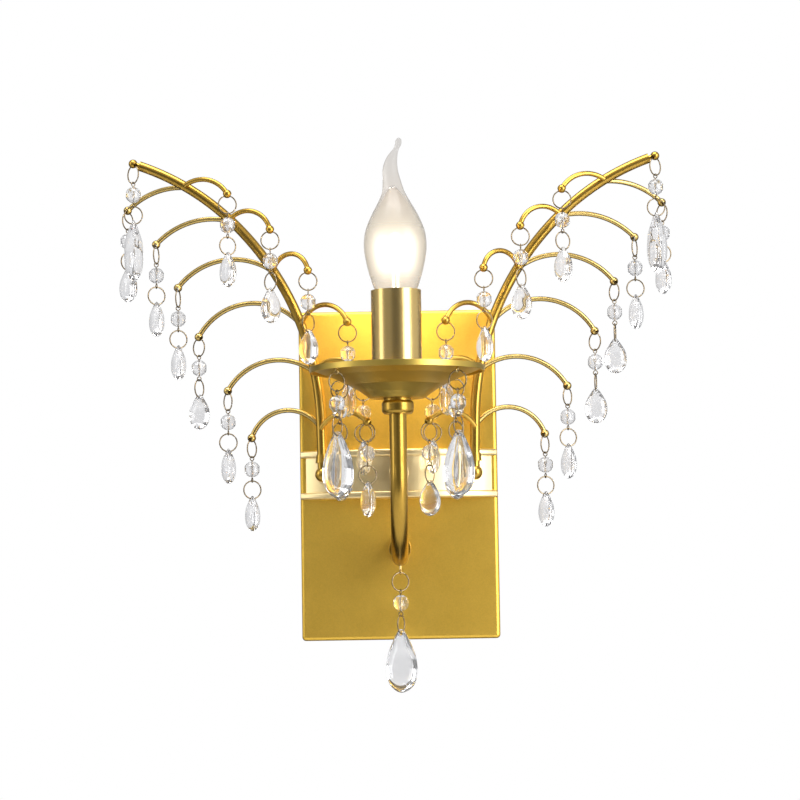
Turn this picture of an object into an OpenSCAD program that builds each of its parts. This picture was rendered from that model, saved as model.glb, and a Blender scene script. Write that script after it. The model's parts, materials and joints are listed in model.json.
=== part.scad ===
// Crystal wall sconce: a shallow pan on the wall with a bowed band across it,
// two branching wings hung with crystal strands, and one candle lamp on a
// curved arm in front.
// Sizes are in mm. x runs to the right, y into the wall, z up.
// The wall is y = 0, and the centre of the plate is x = 0, z = 0.

/* [Plate] */
// Width of the wall plate
plate_w = 120; // [116:1:126]
// Height of the wall plate
plate_h = 200; // [190:1:210]
// Depth of the wall plate
plate_d = 22; // [21.5:0.1:22.5]
// Thickness of the plate's sheet
plate_wall = 1.2; // [1:0.1:1.4]
// Rounding of the plate's edges
plate_round = 2.4; // [2:0.1:3]

/* [Band] */
// Radius of the band's bow, at its lips
band_r = 102.4; // [101:0.2:104]
// How far the band bows out from the plate
band_bow = 20; // [19.8:0.1:20.2]
// Height of the band
band_h = 29.4; // [28:0.2:31]
// Width of the band
band_w = 119; // [117:0.5:120]
// Height of each rounded lip
lip_h = 4.2; // [3.8:0.1:4.6]

/* [Wings] */
// Outside diameter of a stem
stem_d = 6; // [5.6:0.1:6.2]
// Length of a stem's straight foot
stem_straight = 33; // [32.5:0.1:33.5]
// Radius of a stem's lower bend
stem_r1 = 175.5; // [174:0.5:177]
// Radius of a stem's upper bend
stem_r2 = 151; // [149:0.5:153]
// Diameter of a branch rod
rod_d = 3; // [2.8:0.1:3.1]
// Diameter of the ball at a branch's end
ball_d = 5.2; // [5:0.1:5.4]
// Reach of the widest branch from the middle
wing_reach = 163.9; // [163:0.1:165]
// Height of the highest branch's end
wing_rise = 169.2; // [168.5:0.1:170]

/* [Crystals] */
// Radius of a wire ring, at the wire's centre
ring_r = 5.4; // [5.2:0.05:5.6]
// Thickness of the ring wire
ring_wire = 0.8; // [0.7:0.05:0.85]
// Diameter of a crystal bead
bead_d = 10; // [9.4:0.1:10.2]
// Width of a small drop
drop_w = 14.2; // [13.4:0.1:14.4]
// Thickness of a small drop
drop_t = 9; // [8.4:0.1:9.2]
// Height of a small drop
drop_h = 21.8; // [21:0.1:22.4]
// Width of a large drop
big_w = 20.5; // [19.5:0.1:21]
// Thickness of a large drop
big_t = 12; // [11.4:0.1:12.4]
// Height of a large drop
big_h = 38; // [37:0.2:39]

/* [Arm and dish] */
// Distance from the wall to the candle's middle
arm_reach = 108; // [107:0.2:109]
// Outside diameter of the arm
arm_d = 10; // [9.6:0.1:10.2]
// How far below the plate's middle the arm leaves it
arm_low = 45; // [44:0.2:46]
// Radius of the dish
dish_r = 50.3; // [49.5:0.1:51]
// Height of the dish from its floor to its rim
dish_h = 18.2; // [17.8:0.1:18.6]
// Thickness of the dish
dish_t = 1.2; // [1:0.1:1.3]

/* [Candle] */
// Outside diameter of the candle sleeve
sleeve_d = 29; // [28.4:0.1:29.6]
// Length of the candle sleeve
sleeve_l = 61; // [60:0.2:62]
// Widest diameter of the bulb
bulb_d = 36.2; // [35.4:0.1:37]
// Height of the bulb's glass
bulb_h = 94; // [93:0.2:95]

/* [Hidden] */
$fn = 40;

// Gap left between pieces that touch, and the gap of pieces that turn or slide
fit = 0.05;
run = 0.1;
// Overshoot of a cut
over = 1;
// Parts of one rod lap into each other by lap_l, every second one thinner by lap_step
lap_l = 1;
lap_step = 0.1;

// Wall bracket
bracket_w = 108;
bracket_h = 18;
bracket_t = 2;
slot_spacing = 80;
slot_l = 16;
slot_d = 4.5;
stud_d = 4;
bracket_skin = 0.6;
ground_x = 22;
ground_d = 3.6;
ground_head_d = 7.5;
ground_head_h = 2.4;

// Band
band_cy = band_r - band_bow - plate_d;
band_sheet = 1.2;
lip_round = 1.3;
web_r = band_r - 2.5;
seat_turn = 25.6;
seat_d = 13;
seat_t = 1.5;
edge_round = 0.5;
cap_nut_d = 12;
cap_nut_h = 4.2;
dome_d = 9.6;
cap_bore_l = 4.5;
screw_d = 3;
screw_head_d = 5.5;
screw_head_h = 1.8;
screw_in = 3.2;

// Stems: the turns are in degrees, measured from upright towards the outside
foot_d = 9.2;
foot_out = web_r + fit + seat_t + fit + foot_d / 2;
stem_x = foot_out * sin(seat_turn);
stem_y = band_cy - foot_out * cos(seat_turn);
stem_lean = 1.2;
stem_turn_1 = 46.3;
stem_turn_2 = 70.6;
ferrule_d1 = 8.2;
ferrule_d2 = 6.8;
ferrule_h = 5;
ferrule_z = 7;
stem_ball_d = 5.4;
tip_neck_l = 4;
hole_d = 2.4;
hole_low = 1;
wire_rest = 0.15;
link_gap = 0.16;

// Branches, from the top one down: where each leaves the stem, and its end
node_turns = [58.9, 45.9, 32.5, 20.5, 10.7];
low_node_share = 0.83;
outer_x_share = [1, 0.893, 0.813, 0.737, 0.631, 0.544];
outer_z_share = [0.973, 0.845, 0.686, 0.507, 0.31, 0.139];
outer_y_share = [0.86, 1, 1, 1, 1, 1];
inner_x_share = [0.614, 0.459, 0.321, 0.178, 0.126, 0.112];
inner_z_share = [1, 0.87, 0.719, 0.528, 0.327, 0.177];
inner_y_share = [1, 1, 1.07, 1.245, 0.95, 1.2];
// Half of the turn each rod makes on its way, in degrees
outer_bows = [24.7, 30.8, 44.6, 56.2, 50.1, 66.3];
inner_bows = [45, 59.8, 77, 63, 66.4, 48];
outer_end_y = 22;
inner_end_y = 50;
// How far each upper and lower ring is turned from facing the front, in degrees
outer_turns_l = [[60, 45], [78, 25], [80, 22], [-47, 65], [-59, 15], [63, 20]];
outer_turns_r = [[-60, 20], [68, 8], [-62, 80], [-55, 80], [58, 20], [60, 20]];
inner_turns_l = [[10, 32], [0, -47], [5, 52], [12, 15], [25, 12], [-32, 15]];
inner_turns_r = [[0, 36], [5, 55], [-8, 30], [10, -15], [-25, 12], [32, 60]];
tip_turns = [[-48, 10], [48, 8]];

// Strands
eye_r = 1.3;
pin_wire = 0.6;
bead_bore = 1.2;
bead_sides = 10;
drop_sides = 10;
drop_hole_d = 2;
big_hole_d = 2.6;
drop_hang = 0.25;
drop_top = 2.1;
big_top = 2.8;
drop_share = [[0, 0.14], [0.04, 0.26], [0.16, 0.46], [0.35, 0.83], [0.6, 1], [0.82, 0.87], [0.95, 0.47], [1, 0.12]];
big_share = [[0, 0.12], [0.03, 0.21], [0.13, 0.4], [0.35, 0.77], [0.62, 1], [0.83, 0.88], [0.95, 0.48], [1, 0.12]];

// Arm: straight out of the plate, a shallow dip and a bend up to the candle
arm_wall = 1.2;
arm_dip_r = 28;
arm_bend_r = 50;
arm_dip = 22;
arm_end_y = 12;
arm_top_z = 46;
escutcheon_d = 13.6;
escutcheon_h = 5;
lock_nut_d = 15;
lock_nut_h = 3;
eyelet_r = 1.3;
eyelet_wire = 0.8;
eyelet_shank_d = 1.6;
hook_y = 58;
hook_drop = 3.6;

// Collar and dish
dish_z = 40;
collar_d = 18.4;
collar_h = 8;
collar_neck_d = 16;
collar_neck_h = 0.95;
collar_round = 2.4;
dish_shares = [[0.31, 0], [0.4, 0.175], [0.535, 0.41], [0.76, 0.7], [0.976, 0.93]];
lip_low_share = 0.82;
eyelet_share = 0.895;
dish_hang = 1.9;
dish_turns = [41, 139, 221, 319];
finial_turns = [25, 68];
dish_ring_turns = [[20, 38], [-20, 40], [38, 62], [-26, 60]];

// Candle
sleeve_wall = 0.8;
socket_d = 22;
socket_h = 50;
socket_neck_h = 3.7;
shell_d = 15.3;
shell_wall = 0.5;
shell_h = 20;
shell_floor_z = 73;
cap_d = 13.6;
cap_z = 78.5;
cap_h = 18.6;
cap_tip_d = 5;
cap_tip_h = 3.4;
glass_z = 97.15;
glass_t = 0.9;
bulb_sides = 16;
// Bulb rings from the neck up: height, radius and sideways shift
bulb_share = [
    [0, 0.35, 0],
    [0.03, 0.55, 0],
    [0.064, 0.685, 0],
    [0.128, 0.8, 0],
    [0.192, 0.892, 0],
    [0.255, 0.96, 0],
    [0.314, 1, 0],
    [0.372, 0.992, 0],
    [0.425, 0.945, 0],
    [0.48, 0.84, 0],
    [0.537, 0.7, 0],
    [0.596, 0.53, -0.008],
    [0.66, 0.37, -0.03],
    [0.735, 0.29, -0.08],
    [0.81, 0.24, -0.125],
    [0.9, 0.16, -0.02],
    [0.975, 0.095, 0.14],
    [1, 0.04, 0.17]
];
filament_wire = 0.8;
filament_w = 3.5;
filament_h = 40;
stem_glass_d = 5;
stem_glass_h = 16;

// Wires inside
lead_d = 1.8;
lead_x = 1.6;
lead_bend_r = 3;
lead_out = 2;
connector_d1 = 8.4;
connector_d2 = 5.2;
connector_h = 14;
connector_in = 4;

// Colours
gold = [0.82, 0.66, 0.3];
bright_gold = [0.9, 0.76, 0.42];
steel = [0.72, 0.73, 0.75];
crystal = [0.9, 0.93, 0.95];
bulb_white = [0.97, 0.95, 0.88];
brown = [0.25, 0.2, 0.16];
green = [0.2, 0.5, 0.25];
cream = [0.9, 0.86, 0.76];

// Derived places
dish_top_z = dish_z + dish_t + fit;
tube_bore_d = arm_d + 2 * fit;
dip_reach = arm_dip_r * sin(arm_dip);
bend_reach = arm_bend_r * (1 + sin(arm_dip));
arm_straight_y = arm_reach - dip_reach - bend_reach;
dip_z = -arm_low - arm_dip_r * (1 - cos(arm_dip));
bend_z = dip_z + arm_bend_r * cos(arm_dip);
arm_bottom_z = bend_z - arm_bend_r;
eyelet_in = eyelet_r - eyelet_wire / 2 - ring_wire / 2 - link_gap;
bead_drop = ring_r + eye_offset() + eye_r + pin_wire / 2 + bead_d / 2;

function eye_offset() = eye_r - pin_wire / 2 - ring_wire / 2 - run;

// Centre line of a bend that starts at p with heading a0 and ends at heading a1
function bend_at(p, r, a0, a1) = [p[0] + r * (cos(a0) - cos(a1)), p[1] + r * (sin(a1) - sin(a0))];

stem_p1 = [stem_x + stem_straight * sin(stem_lean), stem_straight * cos(stem_lean)];
stem_p2 = bend_at(stem_p1, stem_r1, stem_lean, stem_turn_1);
stem_tip = bend_at(stem_p2, stem_r2, stem_turn_1, stem_turn_2);
low_node = [stem_x + (stem_p1[0] - stem_x) * low_node_share, stem_p1[1] * low_node_share];

function stem_at(a) = a <= stem_turn_1
    ? bend_at(stem_p1, stem_r1, stem_lean, a)
    : bend_at(stem_p2, stem_r2, stem_turn_1, a);

nodes_xz = [stem_at(node_turns[0]), stem_at(node_turns[1]), stem_at(node_turns[2]),
    stem_at(node_turns[3]), stem_at(node_turns[4]), low_node];

// Ends of the branches, as x, y and z for the side given as 1 or -1
lap = stem_d / 2 + rod_d / 2 + fit;
function outer_start(side, i) = [side * nodes_xz[i][0], stem_y + lap, nodes_xz[i][1]];
function inner_start(side, i) = [side * nodes_xz[i][0], stem_y - lap, nodes_xz[i][1]];
function outer_end(side, i) =
    [side * wing_reach * outer_x_share[i], -outer_end_y * outer_y_share[i], wing_rise * outer_z_share[i]];
function inner_end(side, i) =
    [side * wing_reach * inner_x_share[i], -inner_end_y * inner_y_share[i], wing_rise * inner_z_share[i]];
function stem_end(side) = [side * (stem_tip[0] + tip_neck_l * sin(stem_turn_2)), stem_y,
    stem_tip[1] + tip_neck_l * cos(stem_turn_2)];

// Where a strand hangs under a ball, a dish eyelet and the arm's eyelet
ball_hang = hole_low + wire_rest;
dish_eyelet_r = dish_r * eyelet_share;
dish_slope_share = (eyelet_share - dish_shares[3][0]) / (dish_shares[4][0] - dish_shares[3][0]);
dish_under_z = dish_z + dish_h * (dish_shares[3][1] + dish_slope_share * (dish_shares[4][1] - dish_shares[3][1]));
dish_eyelet_z = dish_under_z - dish_hang;
hook_z = arm_bottom_z - arm_d / 2 - hook_drop;
function under(p) = [p[0], p[1], p[2] - ball_hang];
function dish_point(i, z) =
    [dish_eyelet_r * cos(dish_turns[i]), -arm_reach + dish_eyelet_r * sin(dish_turns[i]), z];

// Basic shapes

// Box with rounded front edges and side corners, its open back at y = 0
module soft_box(w, h, d, r) {
    core_w = w - 2 * r;
    core_h = h - 2 * r;
    core_d = d - r;
    translate([-core_w / 2, -core_d, -h / 2])
        cube([core_w, core_d, h]);
    translate([-w / 2, -core_d, -core_h / 2])
        cube([w, core_d, core_h]);
    translate([-core_w / 2, -d, -core_h / 2])
        cube([core_w, d, core_h]);
    for (x = [-1, 1])
        for (z = [-1, 1]) {
            translate([x * core_w / 2, 0, z * core_h / 2])
                rotate([90, 0, 0])
                    cylinder(h = core_d, r = r);
            translate([x * core_w / 2, -core_d, z * core_h / 2])
                sphere(r = r);
        }
    for (z = [-1, 1])
        translate([-core_w / 2, -core_d, z * core_h / 2])
            rotate([0, 90, 0])
                cylinder(h = core_w, r = r);
    for (x = [-1, 1])
        translate([x * core_w / 2, -core_d, -core_h / 2])
            cylinder(h = core_h, r = r);
}

// Disc with rounded edges, standing on z = 0
module soft_disc(r, h, edge) {
    rotate_extrude() {
        square([r - edge, h]);
        translate([0, edge])
            square([r, h - 2 * edge]);
        for (z = [edge, h - edge])
            translate([r - edge, z])
                circle(r = edge);
    }
}

// Wire ring whose hole looks along z
module wire_ring(r, wire) {
    rotate_extrude()
        translate([r, 0])
            circle(d = wire);
}

// Part of a wire ring, from angle a0 to angle a1
module wire_arc(r, wire, a0, a1) {
    rotate([0, 0, a0])
        rotate_extrude(angle = a1 - a0)
            translate([r, 0])
                circle(d = wire);
}

// Solid through rings of points, each ring given as height, half sizes and shift
module ring_solid(rings, sides) {
    last = len(rings) - 1;
    points = [for (k = rings) for (i = [0 : sides - 1])
        [k[3] + k[1] * cos(360 * i / sides), k[2] * sin(360 * i / sides), k[0]]];
    walls = [for (k = [0 : last - 1]) for (i = [0 : sides - 1])
        [k * sides + i, k * sides + (i + 1) % sides,
            (k + 1) * sides + (i + 1) % sides, (k + 1) * sides + i]];
    top = [for (i = [0 : sides - 1]) sides - 1 - i];
    bottom = [for (i = [0 : sides - 1]) last * sides + i];
    polyhedron(points = points, faces = concat([top], walls, [bottom]));
}

// Places children on the band's web, looking out along its normal
module on_band(side, out) {
    translate([0, band_cy, 0])
        rotate([0, 0, side * seat_turn])
            translate([0, -out, 0])
                rotate([90, 0, 0])
                    children();
}

// Places children in the upright plane of a stem
module in_wing(side) {
    translate([0, stem_y, 0])
        rotate([0, 0, side > 0 ? 0 : 180])
            children();
}

// Wall plate and what it hides

module wall_bracket() {
    color(steel)
        difference() {
            translate([-bracket_w / 2, -bracket_t, -bracket_h / 2])
                cube([bracket_w, bracket_t, bracket_h]);
            rotate([90, 0, 0]) {
                translate([0, 0, bracket_skin])
                    cylinder(h = bracket_t, d = stud_d + 2 * fit);
                translate([ground_x, 0, -over])
                    cylinder(h = bracket_t + 2 * over, d = ground_d + 2 * fit);
                for (side = [-1, 1])
                    translate([side * slot_spacing / 2, 0, -over])
                        bracket_slot();
            }
        }
}

module bracket_slot() {
    for (end = [-1, 1])
        translate([end * (slot_l - slot_d) / 2, 0, 0])
            cylinder(h = bracket_t + 2 * over, d = slot_d);
    translate([-(slot_l - slot_d) / 2, -slot_d / 2, 0])
        cube([slot_l - slot_d, slot_d, bracket_t + 2 * over]);
}

module mounting_stud() {
    color(steel)
        rotate([90, 0, 0])
            translate([0, 0, bracket_skin + fit])
                cylinder(h = web_r - band_cy + cap_bore_l - bracket_skin - 2 * fit, d = stud_d);
}

module ground_screw() {
    color(green)
        translate([ground_x, 0, 0])
            rotate([90, 0, 0]) {
                translate([0, 0, fit])
                    cylinder(h = bracket_t, d = ground_d);
                translate([0, 0, bracket_t + fit])
                    cylinder(h = ground_head_h, d = ground_head_d);
            }
}

module backplate() {
    color(gold)
        difference() {
            soft_box(plate_w, plate_h, plate_d, plate_round);
            translate([0, over, 0])
                soft_box(plate_w - 2 * plate_wall, plate_h - 2 * plate_wall,
                    plate_d - plate_wall + over, plate_round - plate_wall);
            translate([0, -plate_d + plate_wall + over, 0])
                rotate([90, 0, 0]) {
                    cylinder(h = plate_wall + 2 * over, d = stud_d + 2 * run);
                    translate([0, -arm_low, 0])
                        cylinder(h = plate_wall + 2 * over, d = tube_bore_d);
                }
        }
}

// Bowed band, its nut and the seats of the stems

module band_lip() {
    translate([web_r - band_sheet, -lip_h])
        square([band_r - web_r + band_sheet - lip_round, lip_h]);
    translate([web_r - band_sheet, lip_round - lip_h])
        square([band_r - web_r + band_sheet, lip_h - 2 * lip_round]);
    for (z = [lip_round, lip_h - lip_round])
        translate([band_r - lip_round, -z])
            circle(r = lip_round);
}

module band_half() {
    translate([0, band_h / 2])
        band_lip();
    translate([band_r - band_bow - band_sheet * 2, band_h / 2 - band_sheet])
        square([band_bow, band_sheet]);
    translate([web_r - band_sheet, -over])
        square([band_sheet, band_h / 2 - lip_h + 2 * over]);
}

module bowed_band() {
    color(gold)
        difference() {
            intersection() {
                translate([0, band_cy, 0])
                    rotate([0, 0, -135])
                        rotate_extrude(angle = 90) {
                            band_half();
                            mirror([0, 1])
                                band_half();
                        }
                translate([-band_w / 2, -plate_d - fit - 2 * band_bow, -band_h])
                    cube([band_w, 2 * band_bow, 2 * band_h]);
            }
            rotate([90, 0, 0])
                cylinder(h = 2 * plate_d, d = stud_d + 2 * run);
            for (side = [-1, 1])
                on_band(side, web_r - 2 * band_sheet)
                    cylinder(h = 4 * band_sheet, d = screw_d + 2 * run);
        }
}

module cap_nut() {
    color(bright_gold)
        translate([0, band_cy - web_r - fit, 0])
            rotate([90, 0, 0])
                difference() {
                    union() {
                        soft_disc(cap_nut_d / 2, cap_nut_h, edge_round);
                        translate([0, 0, cap_nut_h - edge_round])
                            sphere(d = dome_d);
                    }
                    translate([0, 0, -dome_d])
                        cylinder(h = cap_bore_l + dome_d, d = stud_d + 2 * fit);
                    translate([0, 0, -dome_d])
                        cylinder(h = dome_d, d = 2 * dome_d);
                }
}

module stem_seats() {
    color(gold)
        for (side = [-1, 1])
            on_band(side, web_r + fit)
                difference() {
                    soft_disc(seat_d / 2, seat_t, edge_round);
                    translate([0, 0, -over])
                        cylinder(h = seat_t + 2 * over, d = screw_d + 2 * run);
                }
}

module stem_screws() {
    color(steel)
        for (side = [-1, 1])
            on_band(side, web_r - band_sheet - fit - screw_head_h) {
                cylinder(h = screw_head_h, d = screw_head_d);
                cylinder(h = screw_head_h + band_sheet + seat_t + screw_in, d = screw_d);
            }
}

// Stems and branches

// Bend that starts at p, longer at its start by extra
module stem_bend(p, r, a0, a1, d, extra) {
    translate([p[0] + r * cos(a0), 0, p[1] - r * sin(a0)])
        rotate([90, 0, 0])
            wire_arc(r, d, 180 - a1, 180 - a0 + extra / r * 180 / PI);
}

// Ball at p, drilled below its middle for a ring turned by turn
module end_ball(p, d, turn) {
    translate(p)
        rotate([0, 0, turn])
            rotate([0, 90, 0])
                sphere(d = d);
}

module wire_hole(p, turn) {
    translate([p[0], p[1], p[2] - hole_low])
        rotate([0, 0, turn])
            rotate([0, 90, 0])
                rotate([0, 0, 90])
                    cylinder(h = ball_d + over, d = hole_d, center = true);
}

module stem(side) {
    difference() {
        union() {
            in_wing(side) {
                translate([stem_x, 0, 0]) {
                    sphere(d = foot_d);
                    rotate([0, stem_lean, 0]) {
                        cylinder(h = stem_straight + lap_l, d = stem_d - lap_step);
                        translate([0, 0, ferrule_z])
                            cylinder(h = ferrule_h, d1 = ferrule_d1, d2 = ferrule_d2);
                    }
                }
                stem_bend(stem_p1, stem_r1, stem_lean, stem_turn_1, stem_d, 0);
                stem_bend(stem_p2, stem_r2, stem_turn_1, stem_turn_2, stem_d - lap_step, lap_l);
                translate([stem_tip[0], 0, stem_tip[1]])
                    rotate([0, stem_turn_2, 0])
                        translate([0, 0, -lap_l])
                            cylinder(h = tip_neck_l + lap_l, d = rod_d);
            }
            end_ball(stem_end(side), stem_ball_d, tip_turns[side > 0 ? 1 : 0][0]);
        }
        on_band(side, foot_out - foot_d)
            cylinder(h = foot_d / 2 + screw_in, d = screw_d + 2 * fit);
        wire_hole(stem_end(side), tip_turns[side > 0 ? 1 : 0][0]);
    }
}

module left_stem() {
    color(gold)
        stem(-1);
}

module right_stem() {
    color(gold)
        stem(1);
}

// Rod from p to q that turns by twice the angle half, with a drilled ball at q
module branch(p, q, half, turn) {
    reach = sqrt(pow(q[0] - p[0], 2) + pow(q[1] - p[1], 2));
    rise = q[2] - p[2];
    r = sqrt(reach * reach + rise * rise) / 2 / sin(half);
    slope = atan2(rise, reach);
    difference() {
        union() {
            translate(p)
                rotate([0, 0, atan2(q[1] - p[1], q[0] - p[0])])
                    translate([r * sin(half + slope), 0, -r * cos(half + slope)])
                        rotate([90, 0, 0])
                            wire_arc(r, rod_d, 90 - half + slope, 90 + half + slope, $fn = 24);
            end_ball(q, ball_d, turn, $fn = 24);
        }
        wire_hole(q, turn, $fn = 24);
    }
}

module outer_branches(side) {
    turns = side > 0 ? outer_turns_r : outer_turns_l;
    for (i = [0 : 5])
        branch(outer_start(side, i), outer_end(side, i), outer_bows[i], turns[i][0]);
}

module inner_branches(side) {
    turns = side > 0 ? inner_turns_r : inner_turns_l;
    for (i = [0 : 5])
        branch(inner_start(side, i), inner_end(side, i), inner_bows[i], turns[i][0]);
}

module left_outer_branches() {
    color(gold)
        outer_branches(-1);
}

module left_inner_branches() {
    color(gold)
        inner_branches(-1);
}

module right_outer_branches() {
    color(gold)
        outer_branches(1);
}

module right_inner_branches() {
    color(gold)
        inner_branches(1);
}

// Crystal strands, each hung at p from the top of its upper ring's wire

module bead() {
    color(crystal)
        difference() {
            sphere(d = bead_d, $fn = bead_sides);
            cylinder(h = 2 * bead_d, d = bead_bore, center = true, $fn = bead_sides);
        }
}

module eye_pin(turns) {
    eye_z = bead_d / 2 + pin_wire / 2 + eye_r;
    color(steel) {
        cylinder(h = 2 * (eye_z - eye_r), d = pin_wire, center = true);
        for (end = [0, 1])
            translate([0, 0, end == 0 ? eye_z : -eye_z])
                rotate([0, 0, turns[end]])
                    rotate([0, 90, 0])
                        wire_ring(eye_r, pin_wire);
    }
}

module strand_ring(r, turn) {
    color(steel)
        rotate([0, 0, turn])
            rotate([90, 0, 0])
                wire_ring(r, ring_wire);
}

module drop(w, t, h, top, hole, shares) {
    color(crystal)
        difference() {
            translate([0, 0, top])
                ring_solid([for (s = shares) [-h * s[0], t / 2 * s[1], w / 2 * s[1], 0]], drop_sides);
            rotate([0, 90, 0])
                cylinder(h = 2 * t, d = hole, center = true);
        }
}

module strand(p, turns, big) {
    low_z = ring_r + 2 * bead_drop;
    translate(p) {
        translate([0, 0, -ring_r])
            strand_ring(ring_r, turns[0]);
        translate([0, 0, -ring_r - bead_drop]) {
            bead();
            eye_pin(turns);
        }
        translate([0, 0, -low_z])
            strand_ring(ring_r, turns[1]);
        translate([0, 0, -low_z - ring_r - drop_hang])
            rotate([0, 0, turns[1]])
                if (big)
                    drop(big_w, big_t, big_h, big_top, big_hole_d, big_share);
                else
                    drop(drop_w, drop_t, drop_h, drop_top, drop_hole_d, drop_share);
    }
}

module outer_strand(side, i) {
    turns = side > 0 ? outer_turns_r : outer_turns_l;
    strand(under(outer_end(side, i)), turns[i], false);
}

module inner_strand(side, i) {
    turns = side > 0 ? inner_turns_r : inner_turns_l;
    strand(under(inner_end(side, i)), turns[i], false);
}

module tip_strand(side) {
    strand(under(stem_end(side)), tip_turns[side > 0 ? 1 : 0], true);
}

module dish_strand(i) {
    strand(dish_point(i, dish_eyelet_z - eyelet_in), dish_ring_turns[i], true);
}

module finial_strand() {
    strand([0, -hook_y, hook_z - eyelet_in], finial_turns, true);
}

// Arm and its fittings

// Rod of diameter d along the arm's centre line up to height top, longer at its
// free ends by extra
module arm_rod(d, top, extra) {
    lap_turn = lap_l / arm_dip_r * 180 / PI;
    translate([0, -arm_end_y + extra, -arm_low])
        rotate([90, 0, 0])
            cylinder(h = arm_straight_y - arm_end_y + extra, d = d);
    translate([0, -arm_straight_y, -arm_low - arm_dip_r])
        rotate([0, -90, 0])
            wire_arc(arm_dip_r, d - lap_step, -arm_dip - lap_turn, lap_turn);
    translate([0, -arm_reach + arm_bend_r, bend_z])
        rotate([0, -90, 0])
            wire_arc(arm_bend_r, d, 180 - arm_dip, 270);
    translate([0, -arm_reach, bend_z - lap_l])
        cylinder(h = top + extra - bend_z + lap_l, d = d - lap_step);
}

module arm_tube() {
    color(gold)
        difference() {
            arm_rod(arm_d, arm_top_z, 0);
            arm_rod(arm_d - 2 * arm_wall, arm_top_z, over);
            translate([0, -hook_y, arm_bottom_z - arm_d])
                cylinder(h = arm_d, d = eyelet_shank_d + 2 * fit);
        }
}

module arm_escutcheon() {
    color(gold)
        translate([0, -plate_d - fit, -arm_low])
            rotate([90, 0, 0])
                difference() {
                    soft_disc(escutcheon_d / 2, escutcheon_h, edge_round);
                    translate([0, 0, -over])
                        cylinder(h = escutcheon_h + 2 * over, d = tube_bore_d);
                }
}

module lock_nut() {
    difference() {
        cylinder(h = lock_nut_h, d = lock_nut_d, $fn = 6);
        translate([0, 0, -over])
            cylinder(h = lock_nut_h + 2 * over, d = tube_bore_d);
    }
}

module lock_nuts() {
    color(steel) {
        translate([0, -plate_d + plate_wall + fit, -arm_low])
            rotate([-90, 0, 0])
                lock_nut();
        translate([0, -arm_reach, dish_top_z])
            lock_nut();
    }
}

// Eyelet round z = 0 with a shank up to the given height
module eyelet(turn, shank) {
    rotate([0, 0, turn])
        rotate([0, 90, 0])
            wire_ring(eyelet_r, eyelet_wire);
    translate([0, 0, eyelet_r])
        cylinder(h = shank - eyelet_r, d = eyelet_shank_d);
}

module strand_eyelets() {
    color(bright_gold) {
        for (i = [0 : 3])
            translate(dish_point(i, dish_eyelet_z))
                eyelet(dish_ring_turns[i][0], dish_hang + dish_t);
        translate([0, -hook_y, hook_z])
            eyelet(25, hook_drop + arm_wall);
    }
}

module collar() {
    color(gold)
        translate([0, -arm_reach, dish_z - fit - collar_h - collar_neck_h])
            difference() {
                union() {
                    soft_disc(collar_d / 2, collar_h, collar_round);
                    cylinder(h = collar_h + collar_neck_h, d = collar_neck_d);
                }
                translate([0, 0, -over])
                    cylinder(h = 2 * collar_h, d = tube_bore_d);
            }
}

module dish() {
    under_line = [for (s = dish_shares) [dish_r * s[0], dish_h * s[1]]];
    over_line = [for (i = [1 : 4]) [under_line[4 - i][0], under_line[4 - i][1] + dish_t]];
    rim = [
        [under_line[4][0], dish_h * lip_low_share],
        [dish_r, dish_h * lip_low_share],
        [dish_r, dish_h],
        [under_line[4][0], dish_h]
    ];
    color(gold)
        difference() {
            translate([0, -arm_reach, dish_z])
                rotate_extrude()
                    polygon(concat([[tube_bore_d / 2, 0]], under_line, rim, over_line, [[tube_bore_d / 2, dish_t]]));
            for (i = [0 : 3])
                translate(dish_point(i, dish_eyelet_z))
                    cylinder(h = 2 * dish_hang + 2 * dish_t, d = eyelet_shank_d + 2 * fit);
        }
}

// Candle and bulb

module candle_sleeve() {
    color(gold)
        translate([0, -arm_reach, dish_top_z])
            difference() {
                cylinder(h = sleeve_l, d = sleeve_d);
                translate([0, 0, -over])
                    cylinder(h = sleeve_l + 2 * over, d = sleeve_d - 2 * sleeve_wall);
            }
}

module socket_body() {
    bottom = dish_top_z + lock_nut_h + fit;
    color(cream)
        translate([0, -arm_reach, bottom])
            difference() {
                cylinder(h = socket_h, d = socket_d);
                translate([0, 0, -over])
                    cylinder(h = socket_h, d = tube_bore_d);
                translate([0, 0, socket_neck_h])
                    cylinder(h = socket_h, d = shell_d + 2 * fit);
            }
}

module socket_shell() {
    color(bright_gold)
        translate([0, -arm_reach, shell_floor_z])
            difference() {
                cylinder(h = shell_h, d = shell_d);
                translate([0, 0, 2 * shell_wall])
                    cylinder(h = shell_h, d = shell_d - 2 * shell_wall);
            }
}

module bulb_glass() {
    low = len(bulb_share) - 1;
    rings = [for (i = [0 : low]) bulb_share[low - i]];
    color(bulb_white)
        translate([0, -arm_reach, glass_z])
            difference() {
                ring_solid([for (s = rings)
                    [bulb_h * s[0], bulb_d / 2 * s[1], bulb_d / 2 * s[1], bulb_d * s[2]]], bulb_sides);
                ring_solid([for (i = [3 : low]) let (s = rings[i])
                    [bulb_h * s[0] - (i == low ? over : 0), bulb_d / 2 * s[1] - glass_t,
                        bulb_d / 2 * s[1] - glass_t, bulb_d * s[2]]], bulb_sides);
            }
}

module bulb_cap() {
    color(bright_gold)
        translate([0, -arm_reach, cap_z]) {
            difference() {
                cylinder(h = cap_h, d = cap_d);
                translate([0, 0, shell_wall])
                    cylinder(h = cap_h, d = cap_d - 2 * shell_wall);
            }
            translate([0, 0, -cap_tip_h])
                cylinder(h = cap_tip_h, d1 = cap_tip_d, d2 = cap_d - 2 * shell_wall);
        }
}

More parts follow.
